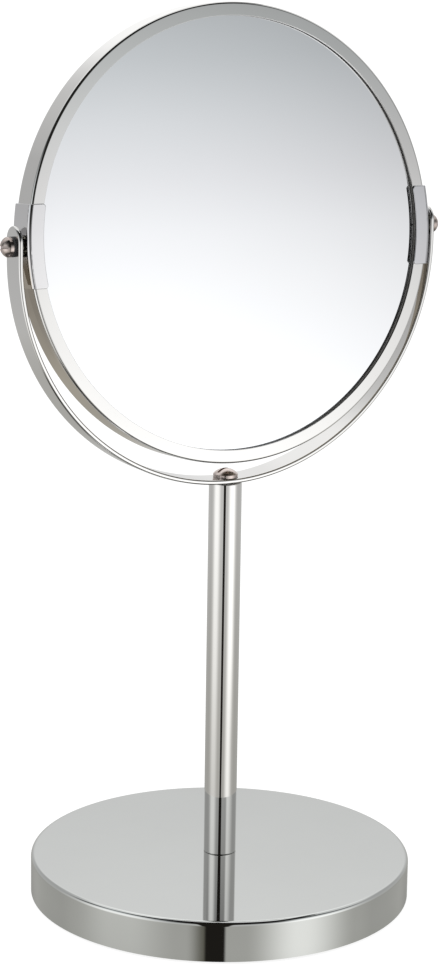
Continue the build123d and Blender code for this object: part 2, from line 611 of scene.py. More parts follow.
# Outer band of the lower hoop: a warmer, darker copy of the chrome as painted shade, browner towards the
# pivot, where the gap to the yoke narrows.
LOWER_HOOP_PAINTED_SHADE_CHROME = HeightPaintedShadeChrome(
    "lower_hoop_painted_shade_chrome", dull=(0.600, 0.545, 0.460), bright=(0.690, 0.630, 0.535)
)
MIRROR_SILVER = SilveredGlass()
PIVOT_NICKEL = TurnedMetal(
    "pivot_screw_nickel",
    dull=(0.42, 0.36, 0.335),
    bright=(0.55, 0.48, 0.45),
    axis="X",
    centre=PIVOT_POINT,
    smooth=0.16,
    worn=0.28,
)
YOKE_NICKEL = TurnedMetal(
    "yoke_screw_nickel",
    dull=(0.50, 0.43, 0.40),
    bright=(0.62, 0.545, 0.51),
    axis="Z",
    smooth=0.20,
    worn=0.32,
)
BUSH_STEEL = TurnedMetal(
    "bush_plate",
    dull=(0.20, 0.19, 0.155),
    bright=(0.33, 0.315, 0.27),
    axis="X",
    centre=PIVOT_POINT,
    cloud_scale=90.0,
    ring_scale=300.0,
    ring_depth=4e-7,
)
ZINC_STEEL = TurnedMetal(
    "zinc_plate",
    dull=(0.50, 0.51, 0.53),
    bright=(0.66, 0.67, 0.68),
    axis="Z",
    smooth=0.25,
    worn=0.42,
)
BLACK_NYLON = GrainedSolid(
    "washer_nylon",
    dark=(0.014, 0.014, 0.015),
    light=(0.028, 0.028, 0.029),
    cloud_scale=300.0,
    grain_scale=2500.0,
    grain_depth=4e-6,
    smooth=0.38,
    rough=0.55,
)
BLACK_PLASTIC = GrainedSolid(
    "insert_plastic",
    dark=(0.020, 0.020, 0.021),
    light=(0.035, 0.035, 0.036),
    cloud_scale=60.0,
    grain_scale=1800.0,
    grain_depth=8e-6,
    smooth=0.42,
    rough=0.6,
)
BLACK_FOAM = GrainedSolid(
    "pad_foam",
    dark=(0.016, 0.016, 0.017),
    light=(0.034, 0.034, 0.035),
    cloud_scale=80.0,
    grain_scale=1100.0,
    grain_depth=9e-5,
    smooth=0.8,
    rough=0.98,
    cellular=True,
)
GREY_IRON = GrainedSolid(
    "cast_iron",
    dark=(0.10, 0.10, 0.10),
    light=(0.20, 0.19, 0.185),
    cloud_scale=50.0,
    grain_scale=900.0,
    grain_depth=6e-5,
    smooth=0.6,
    rough=0.85,
)
GREY_CARD = GrainedSolid(
    "spacer_card",
    dark=(0.30, 0.28, 0.25),
    light=(0.42, 0.39, 0.35),
    cloud_scale=90.0,
    grain_scale=1500.0,
    grain_depth=3e-5,
    smooth=0.8,
    rough=0.95,
)
# Dark matt ring round each silvered face under the hoop's lip: partly the glass's own ground edge, partly
# painted shade of the narrow gap between the lip and the glass.
GLASS_EDGE_AND_PAINTED_SHADE = GrainedSolid(
    "glass_edge_and_painted_shade",
    dark=(0.080, 0.078, 0.073),
    light=(0.130, 0.126, 0.118),
    cloud_scale=200.0,
    grain_scale=1500.0,
    grain_depth=5e-6,
    smooth=0.5,
    rough=0.7,
)


@dataclass
class SubAssembly:
    """Pieces that ride on one body, with the frame's nodes among them."""

    nodes: dict[str, bpy.types.Object]

    def dress(self, finish: Finish, *names: str) -> None:
        """Give nodes of the frame a finish.

        Args:
            finish: the finish.
            names: names of the nodes.
        """
        material = finish.make()
        for name in names:
            for slot in self.nodes[name].material_slots:
                slot.material = material
            LOG.info("dressed %s in %s", name, finish.name)

    def turned(
        self,
        section: list[Point],
        steps: int,
        span: Point = (0.0, FULL_CIRCLE),
        bands: list[int] | None = None,
    ) -> Net:
        """Turn a section round the Z axis into a closed skin.

        Args:
            section: radius and height of each point. It is a loop, or runs from the axis to the axis.
            steps: runs round the axis.
            span: first and last angle in degrees.
            bands: index of the finish for each run of the section, or None for the first everywhere.

        Returns:
            The mesh.
        """
        net = bmesh.new()
        start, sweep = span[0], span[1] - span[0]
        whole = sweep == FULL_CIRCLE
        count = steps if whole else steps + 1
        turns = [math.radians(start + sweep * step / steps) for step in range(count)]
        rows = []
        for radius, height in section:
            around = turns if radius else turns[:1]
            spots = [(radius * math.cos(turn), radius * math.sin(turn), height) for turn in around]
            rows.append([net.verts.new(spot) for spot in spots])
        loop = rows if section[0][0] == 0.0 else [*rows, rows[0]]
        for run, (first, second) in enumerate(zip(loop, loop[1:])):
            for step in range(steps):
                ends = (step, (step + 1) % count)
                sides = ((first, ends), (second, ends[::-1]))
                corners = [row[at % len(row)] for row, order in sides for at in order]
                face = net.faces.new(list(dict.fromkeys(corners)))
                face.material_index = bands[run] if bands else 0
        if not whole:
            net.faces.new([row[0] for row in rows])
            net.faces.new([row[-1] for row in rows])
        return net

    def piece(
        self,
        name: str,
        net: Net,
        place: Matrix,
        finishes: list[Finish],
        cutter: Net | None = None,
    ) -> bpy.types.Object:
        """Make a piece of a mesh, with holes cut and its shading evened out.

        Args:
            name: name of the piece.
            net: its mesh, which is used up.
            place: where the piece goes.
            finishes: materials of the piece.
            cutter: closed mesh that is cut away before the piece is placed, or None.

        Returns:
            The new object.
        """
        bmesh.ops.recalc_face_normals(net, faces=net.faces)
        piece = new_object(name, net, *(finish.make() for finish in finishes))
        if cutter:
            self.cut(piece, cutter)
        piece.data.transform(place)
        piece.data.shade_smooth()
        piece.data.set_sharp_from_angle(angle=SHARP_FOLD)
        even = piece.modifiers.new("even_shading", "WEIGHTED_NORMAL")
        even.keep_sharp = True
        self.settle(piece)
        LOG.info("built %s", name)
        return piece

    def cut(self, piece: bpy.types.Object, cutter: Net) -> None:
        """Cut a closed mesh out of a piece.

        Args:
            piece: the piece.
            cutter: the mesh to cut away, which is used up.
        """
        bmesh.ops.recalc_face_normals(cutter, faces=cutter.faces)
        tool = new_object("cutter", cutter)
        mesh = tool.data
        hole = piece.modifiers.new("hole", "BOOLEAN")
        hole.operation = "DIFFERENCE"
        hole.solver = "EXACT"
        hole.object = tool
        self.settle(piece)
        bpy.data.objects.remove(tool)
        bpy.data.meshes.remove(mesh)

    def settle(self, piece: bpy.types.Object) -> None:
        """Leave the result of a piece's modifiers as its own mesh.

        Args:
            piece: the piece.
        """
        graph = bpy.context.evaluated_depsgraph_get()
        shaped = bpy.data.meshes.new_from_object(
            piece.evaluated_get(graph), preserve_all_data_layers=True, depsgraph=graph
        )
        plain = piece.data
        name = plain.name
        piece.modifiers.clear()
        piece.data = shaped
        bpy.data.meshes.remove(plain)
        shaped.name = name

    def stand_for(self, piece: bpy.types.Object, node: str, body: Body, slot: Slot) -> None:
        """Let a piece stand for a node of the frame.

        Args:
            piece: the piece.
            node: node that it replaces.
            body: body that it rides on.
            slot: not used.
        """
        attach(piece, body.value)
        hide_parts(node)


@dataclass
class BaseAssembly(SubAssembly):
    """Pressed cover with its weight, insert, pad, bolt and washer."""

    radius: float = 74.5 * MM
    top: float = 16.3 * MM
    foot: float = 0.8 * MM
    sheet: float = 0.8 * MM
    edge: float = 1.7 * MM
    hole: float = 3.2 * MM
    steps: int = 288
    edge_steps: int = 18

    def cover_section(self) -> list[Point]:
        """Section of the cover, down its outside and up its inside.

        Returns:
            Radius and height of each point.
        """
        middle = (self.radius - self.edge, self.top - self.edge)
        inside = self.radius - self.sheet
        return [
            (self.hole, self.top),
            *arc(middle, self.edge, 90.0, 0.0, self.edge_steps),
            (self.radius, self.foot),
            (inside, self.foot),
            *arc(middle, self.edge - self.sheet, 0.0, 90.0, self.edge_steps),
            (self.hole, self.top - self.sheet),
        ]

    def build(self) -> None:
        """Build the cover and dress the rest of the base."""
        net = self.turned(self.cover_section(), self.steps)
        cover = self.piece("base_cover_chromed", net, Matrix(), [BASE_CHROME])
        self.stand_for(cover, "base_cover", Body.STAND, Slot.CHROME)
        self.dress(GREY_IRON, "base_weight")
        self.dress(BLACK_PLASTIC, "base_insert")
        self.dress(BLACK_FOAM, "base_pad")
        self.dress(ZINC_STEEL, "base_bolt", "base_washer")


@dataclass
class StemAssembly(SubAssembly):
    """Tube and its threaded plugs."""

    radius: float = 6.35 * MM
    wall: float = 1.0 * MM
    foot: float = 16.3 * MM
    top: float = 165.8 * MM
    edge: float = 0.4 * MM
    steps: int = 128

    def tube_section(self) -> list[Point]:
        """Section of the tube with its outer edges rounded.

        Returns:
            Radius and height of each point.
        """
        bore = self.radius - self.wall
        reach = self.radius - self.edge
        return [
            (bore, self.foot),
            *arc((reach, self.foot + self.edge), self.edge, -90.0, 0.0),
            *arc((reach, self.top - self.edge), self.edge, 0.0, 90.0),
            (bore, self.top),
        ]

    def build(self) -> None:
        """Build the tube and dress the plugs."""
        net = self.turned(self.tube_section(), self.steps)
        tube = self.piece("stem_tube_chromed", net, Matrix(), [CHROME])
        self.stand_for(tube, "stem_tube", Body.STAND, Slot.CHROME)
        self.dress(ZINC_STEEL, "stem_lower_plug", "stem_upper_plug")


@dataclass
class SlottedScrew(SubAssembly):
    """Domed screw with a slot across its head."""

    shank: float = 2.0 * MM
    reach: float = 6.25 * MM
    head_radius: float = 3.7 * MM
    head_height: float = 3.6 * MM
    rim_share: float = 0.35
    slot_depth_share: float = 0.4
    slot_width_share: float = 0.13
    edge: float = 0.25 * MM
    slot_turn: float = 90.0
    steps: int = 144
    dome_steps: int = 26
    edge_steps: int = 8

    def section(self) -> list[Point]:
        """Section from the top of the dome to the end of the shank.

        Returns:
            Radius and height of each point.
        """
        dome = self.head_height * (1.0 - self.rim_share)
        ball = (self.head_radius**2 + dome**2) / (2.0 * dome)
        rise = self.head_height - ball
        corner = self.head_radius - self.edge
        lean = math.asin(corner / (ball - self.edge))
        turn = math.degrees(lean)
        seat = rise + (ball - self.edge) * math.cos(lean)
        points = arc((0.0, rise), ball, 90.0, 90.0 - turn, self.dome_steps)
        points[0] = (0.0, self.head_height)
        points += arc((corner, seat), self.edge, 90.0 - turn, 0.0, self.edge_steps)[1:]
        points += [(self.head_radius, 0.0), (self.shank, 0.0)]
        points += [(self.shank, -self.reach), (0.0, -self.reach)]
        return points

    def slot(self) -> Net:
        """Block that cuts the slot.

        Returns:
            The mesh.
        """
        across = 2.0 * self.head_radius
        depth = self.slot_depth_share * self.head_height
        size = (2.0 * across, self.slot_width_share * across, 2.0 * depth)
        block = bmesh.new()
        bmesh.ops.create_cube(block, size=1.0)
        bmesh.ops.scale(block, vec=size, verts=block.verts)
        turn = Matrix.Rotation(math.radians(self.slot_turn), 4, "Z")
        block.transform(Matrix.Translation((0.0, 0.0, self.head_height)) @ turn)
        return block

    def screw(self, name: str, place: Matrix, finish: Finish) -> bpy.types.Object:
        """Build the screw, with the underside of its head at a place."""
        net = self.turned(self.section(), self.steps)
        return self.piece(name, net, place, [finish], self.slot())


@dataclass
class YokeAssembly(SubAssembly):
    """Bent strip and the screw that holds it on the stem."""

    inside: float = 87.95 * MM
    thickness: float = 1.8 * MM
    width: float = 11.0 * MM
    edge: float = 0.72 * MM
    bend_height: float = 255.55 * MM
    straight: float = 7.05 * MM
    pivot_rise: float = 5.05 * MM
    pivot_hole: float = 2.08 * MM
    stem_hole: float = 2.7 * MM
    screw_seat: float = 167.778 * MM
    screw_shank: float = 2.5 * MM
    screw_reach: float = 11.978 * MM
    screw_head_radius: float = 4.75 * MM
    screw_head_height: float = 3.3 * MM
    screw_slot_turn: float = 12.0
    bend_steps: int = 240
    tip_steps: int = 24
    leg_steps: int = 6
    edge_steps: int = 8

    def stations(self) -> list[Station]:
        """Stations along the strip from tip to tip.

        Returns:
            Turn round the bend, length along the leg, and turn round the tip, in radians and metres.
        """
        leans = [QUARTER_TURN * step / self.tip_steps for step in range(self.tip_steps + 1)]
        lengths = [self.straight * step / self.leg_steps for step in range(self.leg_steps)]
        turns = [QUARTER_TURN * (2.0 * step / self.bend_steps - 1.0) for step in range(1, self.bend_steps)]
        right = [(QUARTER_TURN, length, 0.0) for length in lengths]
        right += [(QUARTER_TURN, self.straight, lean) for lean in leans]
        bend = [(turn, 0.0, 0.0) for turn in turns]
        left = [(-turn, length, lean) for turn, length, lean in reversed(right)]
        return [*left, *bend, *right]

    def spot(self, station: Station, inset: float, radius: float, side: float) -> Vector:
        """Point of the strip.

        Args:
            station: station along the strip.
            inset: distance inside the strip's outline.
            radius: distance from the middle of the bend.
            side: 1 for the rear edge and -1 for the front edge.

        Returns:
            The point.
        """
        turn, length, lean = station
        half = self.width / 2.0 - inset
        rise = length + half * math.sin(lean)
        return Vector(
            (
                radius * math.sin(turn),
                side * half * math.cos(lean),
                self.bend_height - radius * math.cos(turn) + rise,
            )
        )

    def strip(self) -> Net:
        """Skin of the strip with rounded edges and tips.

        Returns:
            The mesh.
        """
        net = bmesh.new()
        stations = self.stations()
        last = len(stations) - 1
        outer = self.inside + self.thickness
        rim = arc((self.edge, self.inside + self.edge), self.edge, 270.0, 180.0, self.edge_steps)
        rim += arc((self.edge, outer - self.edge), self.edge, 180.0, 90.0, self.edge_steps)
        rear, front = [], []
        for inset, radius in rim:
            far = [net.verts.new(self.spot(at, inset, radius, 1.0)) for at in stations]
            near = [net.verts.new(self.spot(at, inset, radius, -1.0)) for at in stations[1:last]]
            rear.append(far)
            front.append([far[0], *near, far[last]])
        for rows in (rear, front):
            for first, second in zip(rows, rows[1:]):
                for step in range(last):
                    net.faces.new((first[step], first[step + 1], second[step + 1], second[step]))
        for row in (0, -1):
            for step in range(last):
                corners = [rear[row][step], rear[row][step + 1], front[row][step + 1], front[row][step]]
                net.faces.new(list(dict.fromkeys(corners)))
        return net

    def holes(self) -> Net:
        """Rods that cut the pivot holes and the hole for the screw.

        Returns:
            The mesh.
        """
        rods = bmesh.new()
        past_tips = 4.0 * self.inside
        pivot = Matrix.Translation((0.0, 0.0, self.bend_height + self.pivot_rise))
        bottom = Matrix.Translation((0.0, 0.0, self.bend_height - self.inside))
        add_rod(rods, self.pivot_hole, past_tips, pivot @ Matrix.Rotation(QUARTER_TURN, 4, "Y"))
        add_rod(rods, self.stem_hole, self.inside, bottom)
        return rods

    def build(self) -> None:
        """Build the strip and its screw."""
        strip = self.piece("yoke_chromed", self.strip(), Matrix(), [CHROME], self.holes())
        self.stand_for(strip, "yoke", Body.STAND, Slot.CHROME)
        maker = SlottedScrew(
            self.nodes,
            shank=self.screw_shank,
            reach=self.screw_reach,
            head_radius=self.screw_head_radius,
            head_height=self.screw_head_height,
            slot_turn=self.screw_slot_turn,
        )
        place = Matrix.Translation((0.0, 0.0, self.screw_seat))
        screw = maker.screw("yoke_screw_domed", place, YOKE_NICKEL)
        self.stand_for(screw, "yoke_screw", Body.STAND, Slot.NICKEL)


@dataclass
class TiltedPieces(SubAssembly):
    """Pieces that tilt with the mirror."""

    tilt: float = 4.3

    def place(self) -> Matrix:
        """Matrix from the upright hoop round the origin to the hoop as it stands."""
        return Matrix.Translation(Vector(PIVOT_POINT)) @ Matrix.Rotation(math.radians(-self.tilt), 4, "X")


@dataclass
class MirrorHead(TiltedPieces):
    """Hoop, glasses and spacer."""

    hoop_radius: float = 85.85 * MM
    hoop_half: float = 5.75 * MM
    sheet: float = 0.8 * MM
    bend: float = 0.2 * MM
    lip_radius: float = 80.75 * MM
    lip_edge: float = 0.14 * MM
    joint_turn: float = 0.2
    notch: float = 3.9 * MM
    notch_length: float = 400.0 * MM
    glass_radius: float = 84.35 * MM
    front_face: float = 4.95 * MM
    glass: float = 1.8 * MM
    seen_depth: float = 0.9 * MM
    dark_ring_width: float = 3.2 * MM
    curvature: float = 1000.0 * MM
    steps: int = 240
    fold_steps: int = 16
    inner_fold_steps: int = 4
    cap_rows: int = 14

    def facing(self) -> Matrix:
        """Matrix from a lathe's frame, with its axis to the front of the hoop, to the frame of the part."""
        return self.place() @ Matrix.Rotation(QUARTER_TURN, 4, "X")

    def channel(self) -> list[Point]:
        """Section of the hoop, round its outside, its lips and its inside.

        Returns:
            Radius and height of each point.
        """
        fold = self.bend + self.sheet
        corner = self.hoop_radius - fold
        level = self.hoop_half - fold
        tip = self.lip_radius + self.lip_edge
        outer = self.hoop_half - self.lip_edge
        inner = self.hoop_half - self.sheet + self.lip_edge
        front = [
            *arc((corner, level), fold, 0.0, 90.0, self.fold_steps),
            *arc((tip, outer), self.lip_edge, 90.0, 180.0),
            *arc((tip, inner), self.lip_edge, 180.0, 270.0),
            *arc((corner, level), self.bend, 90.0, 0.0, self.inner_fold_steps),
        ]
        return [*front, *((radius, -height) for radius, height in reversed(front))]

    def half_hoop(self, half: Half) -> None:
        """Build one half of the hoop in place of its node.

        Args:
            half: which half.
        """
        start = 0.0 if half is Half.UPPER else HALF_CIRCLE
        section = self.channel()
        span = (start + self.joint_turn, start + HALF_CIRCLE - self.joint_turn)
        bands = [0] * (len(section) - 1) + [1]
        net = self.turned(section, self.steps, span, bands)
        rod = bmesh.new()
        add_rod(rod, self.notch, self.notch_length, Matrix.Rotation(QUARTER_TURN, 4, "Y"))
        # The lower half's outer band takes the painted shade of its gap to the yoke.
        outside = CHROME if half is Half.UPPER else LOWER_HOOP_PAINTED_SHADE_CHROME
        piece = self.piece(f"hoop_{half.value}_chromed", net, self.facing(), [CHROME, outside], rod)
        self.stand_for(piece, f"hoop_{half.value}", Body.HEAD, Slot.CHROME)

    def cap(self, radius: float) -> float:
        """Depth of the magnifying face at a radius, measured from its middle."""
        return self.curvature - math.sqrt(self.curvature**2 - radius**2)

    def plain_profile(self) -> list[Point]:
        """Section of the plain mirror, with its silver as deep as the glass makes it look.

        Returns:
            Radius and height of each point.
        """
        # The ring beyond the silver, out to the glass's edge, takes the dark ring of glass edge and painted
        # shade.
        inner = self.glass_radius - self.dark_ring_width
        silver = self.front_face - self.seen_depth
        back = self.front_face - self.glass
        return [
            (0.0, silver),
            (inner, silver),
            (inner, self.front_face),
            (self.glass_radius, self.front_face),
            (self.glass_radius, back),
            (0.0, back),
        ]

    def magnifying_profile(self) -> list[Point]:
        """Section of the magnifying mirror, hollow to the rear.

        Returns:
            Radius and height of each point.
        """
        inner = self.glass_radius - self.dark_ring_width
        edge = -self.front_face
        rim = edge + self.cap(self.glass_radius)
        radii = [inner * row / self.cap_rows for row in range(self.cap_rows + 1)]
        silver = [(r, rim - self.cap(r) + self.seen_depth) for r in radii]
        backs = [(r, rim - self.cap(r) + self.glass) for r in radii]
        ring = [(inner, edge), (self.glass_radius, edge), (self.glass_radius, edge + self.glass)]
        return [*silver, *ring, *reversed(backs)]

    def mirror_face(self, name: str, node: str, profile: list[Point], silver_runs: int) -> None:
        """Build one silvered glass in place of its node.

        Args:
            name: name of the piece.
            node: node that it stands for.
            profile: its section.
            silver_runs: runs of the section from the middle that are silver.
        """
        # Runs past the silver take the dark ring, partly the glass's ground edge and partly painted shade
        # under the lip.
        bands = [0 if run < silver_runs else 1 for run in range(len(profile) - 1)]
        net = self.turned(profile, self.steps, bands=bands)
        piece = self.piece(name, net, self.facing(), [MIRROR_SILVER, GLASS_EDGE_AND_PAINTED_SHADE])
        self.stand_for(piece, node, Body.HEAD, Slot.GLASS)

    def build(self) -> None:
        """Build the hoop and the silvered faces and dress the spacer."""
        for half in Half:
            self.half_hoop(half)
        self.mirror_face("plain_glass_silvered", "plain_mirror", self.plain_profile(), 1)
        hollow = self.magnifying_profile()
        self.mirror_face("magnifying_glass_silvered", "magnifying_mirror", hollow, self.cap_rows)
        self.dress(GREY_CARD, "mirror_spacer")


@dataclass
class PivotSet(TiltedPieces):
    """Clip, bush, washers and screw at one end of the pivot."""

    side: Side = Side.LEFT
    seat: float = 90.8 * MM

    def build(self) -> None:
        """Build the screw and dress the rest of the pivot."""
        end = self.side.value
        outwards = QUARTER_TURN if self.side is Side.RIGHT else -QUARTER_TURN
        place = self.place() @ Matrix.Rotation(outwards, 4, "Y")
        place = place @ Matrix.Translation((0.0, 0.0, self.seat))
        screw = SlottedScrew(self.nodes).screw(f"pivot_screw_{end}_domed", place, PIVOT_NICKEL)
        self.stand_for(screw, f"pivot_screw_{end}", Body.HEAD, Slot.NICKEL)
        # The left clip's chrome has a whiter, bluer painted reflection and painted shade on its outer wall;
        # the right clip's has a darker, bluer painted reflection.
        clip = PRESSED_CHROME if self.side is Side.LEFT else RIGHT_CLIP_PAINTED_REFLECTION_CHROME
        self.dress(clip, f"pivot_clip_{end}")
        self.dress(BUSH_STEEL, f"pivot_bush_{end}")
        self.dress(BLACK_NYLON, f"inner_washer_{end}", f"outer_washer_{end}")


@dataclass(frozen=True)
class WallLight:
    """Upright band of light on the wall of the tent.

    It rises and falls between angles in degrees from the gap, to the right, and its stops give heights
    in metres with the brightness at each.
    """

    rise: Point
    fall: Point
    stops: Stops


LEFT_LIGHT = WallLight(
    rise=(-91.0, -61.0),
    fall=(-50.0, -20.0),
    stops=(
        (-0.60, 0.0), (-0.30, 0.0), (-0.20, 0.20), (-0.148, 0.33), (-0.066, 0.57), (0.018, 0.68),
        (0.22, 0.78), (0.35, 0.95), (0.45, 0.70), (0.51, 0.45), (0.59, 0.10), (0.65, 0.0),
    ),
)
LOW_RIGHT_LIGHT = WallLight(
    rise=(16.0, 48.0),
    fall=(50.0, 88.0),
    stops=(
        (-0.60, 0.0), (-0.30, 0.0), (-0.25, 0.48), (-0.20, 0.70), (-0.148, 0.74), (-0.12, 0.78),
        (-0.06, 0.0),
    ),
)
MIDDLE_RIGHT_LIGHT = WallLight(
    rise=(18.0, 50.0),
    fall=(60.0, 92.0),
    stops=((-0.12, 0.0), (-0.06, 0.92), (0.018, 1.0), (0.14, 0.80), (0.19, 0.0)),
)
HIGH_RIGHT_LIGHT = WallLight(
    rise=(37.0, 52.0),
    fall=(53.0, 105.0),
    stops=(
        (0.14, 0.0), (0.19, 0.73), (0.20, 0.72), (0.267, 0.75), (0.30, 0.77), (0.334, 0.78),
        (0.368, 0.68), (0.39, 0.60), (0.45, 0.36), (0.52, 0.09), (0.60, 0.0),
    ),
)
HIGH_LEFT_REAR_LIGHT = WallLight(
    rise=(-182.0, -181.0),
    fall=(-98.0, -58.0),
    stops=((0.40, 0.0), (0.464, 0.10), (0.57, 0.32), (0.61, 0.52), (0.70, 0.90), (1.0, 0.90)),
)
HIGH_RIGHT_REAR_LIGHT = WallLight(
    rise=(72.0, 96.0),
    fall=(181.0, 182.0),
    stops=((0.42, 0.0), (0.52, 0.40), (0.65, 0.65), (1.0, 0.75)),
)
GAP_LEFT_SHADE = WallLight(
    rise=(-16.5, -4.8),
    fall=(-5.0, -4.0),
    stops=((-0.22, 0.42), (-0.17, 0.42), (-0.155, 0.0)),
)


@dataclass
class Studio:
    """Light tent round the object, open in a gap towards the camera, with a pale floor and a broad lamp.

    Angles are in degrees, lengths and heights in metres. Stops give heights with a brightness, or with
    half the width of the gap in degrees. Zones are shares of the height of the tent.
    """

    facing: float = -32.2
    tent_radius: float = 0.55
    tent_foot: float = -0.6
    tent_top: float = 1.0
    tent_steps: int = 128
    brightest: float = 2.0
    gap_shade: Colour = (0.0095, 0.0085, 0.0072)
    gap_edge: float = 1.0
    gap_stops: Stops = (
        (-0.60, 5.6), (-0.18, 5.6), (-0.11, 7.4), (0.02, 7.8), (0.23, 10.0), (0.30, 14.0),
        (0.37, 22.0), (0.50, 22.0), (1.0, 12.0),
    )
    roof_zone: Point = (0.992, 0.996)
    roof_light: float = 1.17
    roof_front: float = 0.12
    roof_right: float = 0.36
    roof_edge: float = 0.06
    foot_zone: Point = (0.004, 0.008)
    foot_light: float = 1.10
    foot_shade: float = 0.18
    foot_radius: float = 0.28
    foot_edge: float = 0.06
    side_start: float = 95.0
    side_edge: float = 8.0
    rear_start: float = 146.0
    rear_edge: float = 12.0
    front_stops: Stops = (
        (-0.60, 0.05), (-0.32, 0.10), (-0.25, 0.50), (-0.20, 0.58), (-0.148, 0.55), (-0.066, 0.62),
        (0.018, 0.75), (0.14, 0.74), (0.20, 0.65), (0.233, 0.55), (0.267, 0.43), (0.30, 0.26),
        (0.334, 0.12), (0.368, 0.06), (0.45, 0.03), (1.0, 0.02),
    )
    side_stops: Stops = (
        (-0.60, 0.05), (-0.32, 0.10), (-0.25, 0.46), (-0.20, 0.52), (-0.148, 0.49), (-0.066, 0.53),
        (0.018, 0.63), (0.16, 0.61), (0.28, 0.57), (0.42, 0.58), (0.53, 0.50), (0.65, 0.30), (1.0, 0.10),
    )
    rear_stops: Stops = (
        (-0.60, 0.05), (-0.30, 0.20), (-0.20, 0.38), (-0.05, 0.52), (0.03, 0.62), (0.127, 0.80),
        (0.18, 0.87), (0.255, 0.98), (0.30, 1.03), (0.45, 1.09), (0.60, 0.88), (1.0, 0.50),
    )
    lights: tuple[WallLight, ...] = (
        LEFT_LIGHT,
        LOW_RIGHT_LIGHT,
        MIDDLE_RIGHT_LIGHT,
        HIGH_RIGHT_LIGHT,
        HIGH_LEFT_REAR_LIGHT,
        HIGH_RIGHT_REAR_LIGHT,
    )
    shades: tuple[WallLight, ...] = (GAP_LEFT_SHADE,)
    warm: Colour = (1.0, 0.988, 0.94)
    clear: Colour = (1.0, 1.0, 1.0)
    pale: Colour = (0.988, 0.990, 1.0)
    cool: Colour = (0.950, 0.986, 1.0)
    warm_heights: tuple[float, ...] = (-0.10, 0.10)
    cool_heights: tuple[float, ...] = (0.24, 0.30, 0.37)
    floor_radius: float = 14.0
    floor_drop: float = 0.2 * MM
    floor_steps: int = 96
    floor_shade: Colour = (0.16, 0.16, 0.16)
    floor_glow: float = 0.90
    lamp_energy: float = 1.2
    lamp_spread: float = 60.0
    lamp_tilt: float = 32.0
    lamp_turn: float = -50.0

    def share(self, height: float) -> float:
        """Place of a height between the foot and the top of the tent, from 0 to 1."""
        return (height - self.tent_foot) / (self.tent_top - self.tent_foot)

    def level(self, board: ShaderBoard, height: Socket, stops: Stops, most: float) -> Socket:
        """Value by height, as a share of the most that it can be."""
        return board.tint(height, *((self.share(at), (value / most,) * 3) for at, value in stops))

    def cast(
        self, board: ShaderBoard, height: Socket, heights: tuple[float, ...], colours: tuple[Colour, ...]
    ) -> Socket:
        """Tint of the cloth by height, with a colour at each of some heights."""
        return board.tint(height, *zip(map(self.share, heights), colours))

    def band(self, board: ShaderBoard, turn: Socket, light: WallLight) -> Socket:
        """Share of a light at a turn round the tent.

        Args:
            board: node tree.
            turn: angle from the gap in radians, to the right.
            light: the light.

        Returns:
            Value socket from 0 to 1.
        """
        grows = board.spread(turn, *(math.radians(angle) for angle in light.rise))
        fades = board.spread(turn, *(math.radians(angle) for angle in light.fall), 1.0, 0.0)
        return board.sum("MULTIPLY", grows, fades)

    def beyond(self, board: ShaderBoard, away: Socket, start: float, edge: float) -> Socket:
        """Share of a zone that starts softly at an angle from the gap, on both sides."""
        return board.spread(away, math.radians(start - edge), math.radians(start + edge))

    def along(self, board: ShaderBoard, line: Place) -> Socket:
        """Distance along a line.

        Args:
            board: node tree.
            line: direction of the line.

        Returns:
            Value socket in metres.
        """
        node = board.add("ShaderNodeVectorMath", operation="DOT_PRODUCT")
        board.feed(node.inputs[0], board.place())
        node.inputs[1].default_value = line
        return node.outputs["Value"]

    def roof(self, board: ShaderBoard, front: Socket, right: Socket) -> Socket:
        """Brightness of the roof, which is dark at its front and its right.

        Args:
            board: node tree.
            front: distance towards the camera.
            right: distance to the right.

        Returns:
            Value socket.
        """
        edge = self.roof_edge
        ahead = board.spread(front, self.roof_front - edge, self.roof_front + edge, 1.0, 0.0)
        aside = board.spread(right, self.roof_right - edge, self.roof_right + edge, 1.0, 0.0)
        lit = board.sum("MULTIPLY", ahead, aside)
        return board.sum("MULTIPLY", lit, self.roof_light / self.brightest)

    def foot(self, board: ShaderBoard, front: Socket, right: Socket) -> Socket:
        """Brightness of the bottom, which is lit in its middle.

        Args:
            board: node tree.
            front: distance towards the camera.
            right: distance to the right.

        Returns:
            Value socket.
        """
        near, far = self.foot_radius - self.foot_edge, self.foot_radius + self.foot_edge
        lit, dim = self.foot_light / self.brightest, self.foot_shade / self.brightest
        return board.spread(board.diagonal(front, right), near, far, lit, dim)

